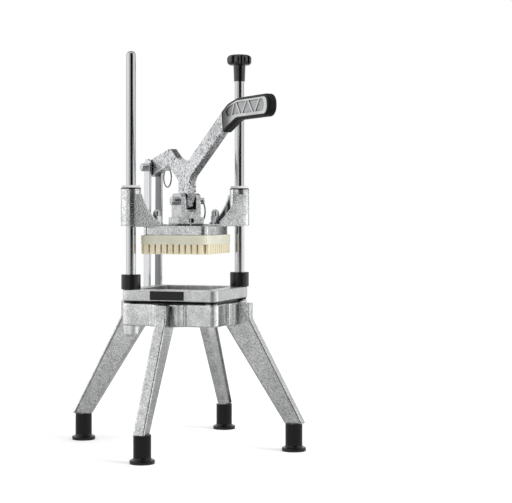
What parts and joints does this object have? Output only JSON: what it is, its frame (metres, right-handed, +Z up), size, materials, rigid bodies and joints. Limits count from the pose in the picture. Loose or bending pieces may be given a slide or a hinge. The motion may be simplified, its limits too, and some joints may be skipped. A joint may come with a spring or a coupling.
{
  "type": "manual vegetable slicer",
  "caption": "Lever-worked vegetable slicer: a finger block on two rods presses food through a square blade cartridge on a four-legged stand.",
  "frame": {"origin": "on the worktop, under the centre of the blade cartridge and midway between the feet", "axes": "+Z up, -Y out of the face with the label plate, +X to the right along that face; the lever points between +X and -Y"},
  "size_m": [0.3197, 0.3197, 0.481],
  "materials": {
    "cast_aluminium": "bright, speckled sand-cast skin",
    "machined_aluminium": "smooth satin",
    "blade_steel": "ground",
    "chromed_steel": "polished",
    "polished_steel": "bright polished",
    "zinc_steel": "zinc plated",
    "black_rubber": "satin",
    "black_plastic": "satin moulded",
    "grey_plastic": "satin moulded",
    "ivory_plastic": "moulded, lightly glossy",
    "bush_plastic": "smooth, natural white",
    "label_plastic": "smooth, bare"
  },
  "bodies": {
    "stand": {"base_casting": "cast_aluminium", "leg_front": "cast_aluminium", "leg_right": "cast_aluminium", "leg_back": "cast_aluminium", "leg_left": "cast_aluminium", "foot_front": "black_rubber", "foot_right": "black_rubber", "foot_back": "black_rubber", "foot_left": "black_rubber", "leg_bolts": "zinc_steel", "blade_frame": "machined_aluminium", "blades_lower": "blade_steel", "blades_upper": "blade_steel", "frame_screws": "zinc_steel", "label_plate": "label_plastic", "guide_rod": "chromed_steel", "guide_rod_nut": "zinc_steel", "collar_left": "black_rubber", "collar_right": "black_rubber"},
    "lock_rod": {"lock_rod": "chromed_steel", "lock_knob": "black_plastic"},
    "head": {"head_casting": "cast_aluminium", "guide_bushes": "bush_plastic", "clevis": "cast_aluminium", "clevis_screws": "zinc_steel", "clevis_pin": "polished_steel", "pusher_block": "ivory_plastic", "pusher_studs": "zinc_steel", "pusher_washers": "polished_steel", "cap_nuts": "polished_steel"},
    "lever": {"lever": "cast_aluminium", "grip": "black_plastic", "grip_inlays": "grey_plastic"},
    "links": {"link_left": "polished_steel", "link_right": "polished_steel", "rear_pin": "polished_steel", "link_bolt": "zinc_steel", "link_nut": "zinc_steel"},
    "clevis_ring": {"clevis_pin_ring": "polished_steel"},
    "rear_ring": {"rear_pin_ring": "polished_steel"}
  },
  "joints": [
    {"name": "head_slide", "type": "slide", "parent": "stand", "child": "head", "axis": [0, 0, 1], "range_m": [-0.056, 0.04]},
    {"name": "lever_turn", "type": "hinge", "parent": "head", "child": "lever", "pos_m": [0, 0, 0.2987], "axis": [-0.7071, -0.7071, 0], "range_deg": [-33, 24]},
    {"name": "link_turn", "type": "hinge", "parent": "lever", "child": "links", "pos_m": [-0.07389, 0.07389, 0.3424], "axis": [-0.7071, -0.7071, 0], "range_deg": [-17, 24]},
    {"name": "lock_rod_turn", "type": "hinge", "parent": "stand", "child": "lock_rod", "pos_m": [0.0513, 0.0513, 0.1493], "axis": [0, 0, 1], "continuous": true},
    {"name": "clevis_ring_swing", "type": "hinge", "parent": "head", "child": "clevis_ring", "pos_m": [0.014, 0.014, 0.2987], "axis": [0.7071, -0.7071, 0], "range_deg": [-3, 28]},
    {"name": "rear_ring_swing", "type": "hinge", "parent": "links", "child": "rear_ring", "pos_m": [-0.06003, 0.08775, 0.3424], "axis": [0.7071, -0.7071, 0], "range_deg": [-10, 85]}
  ],
  "couplings": [
    {"joint": "lever_turn", "follows": "head_slide", "rad_per_m": 10.036},
    {"joint": "link_turn", "follows": "head_slide", "rad_per_m": -7.1558}
  ]
}
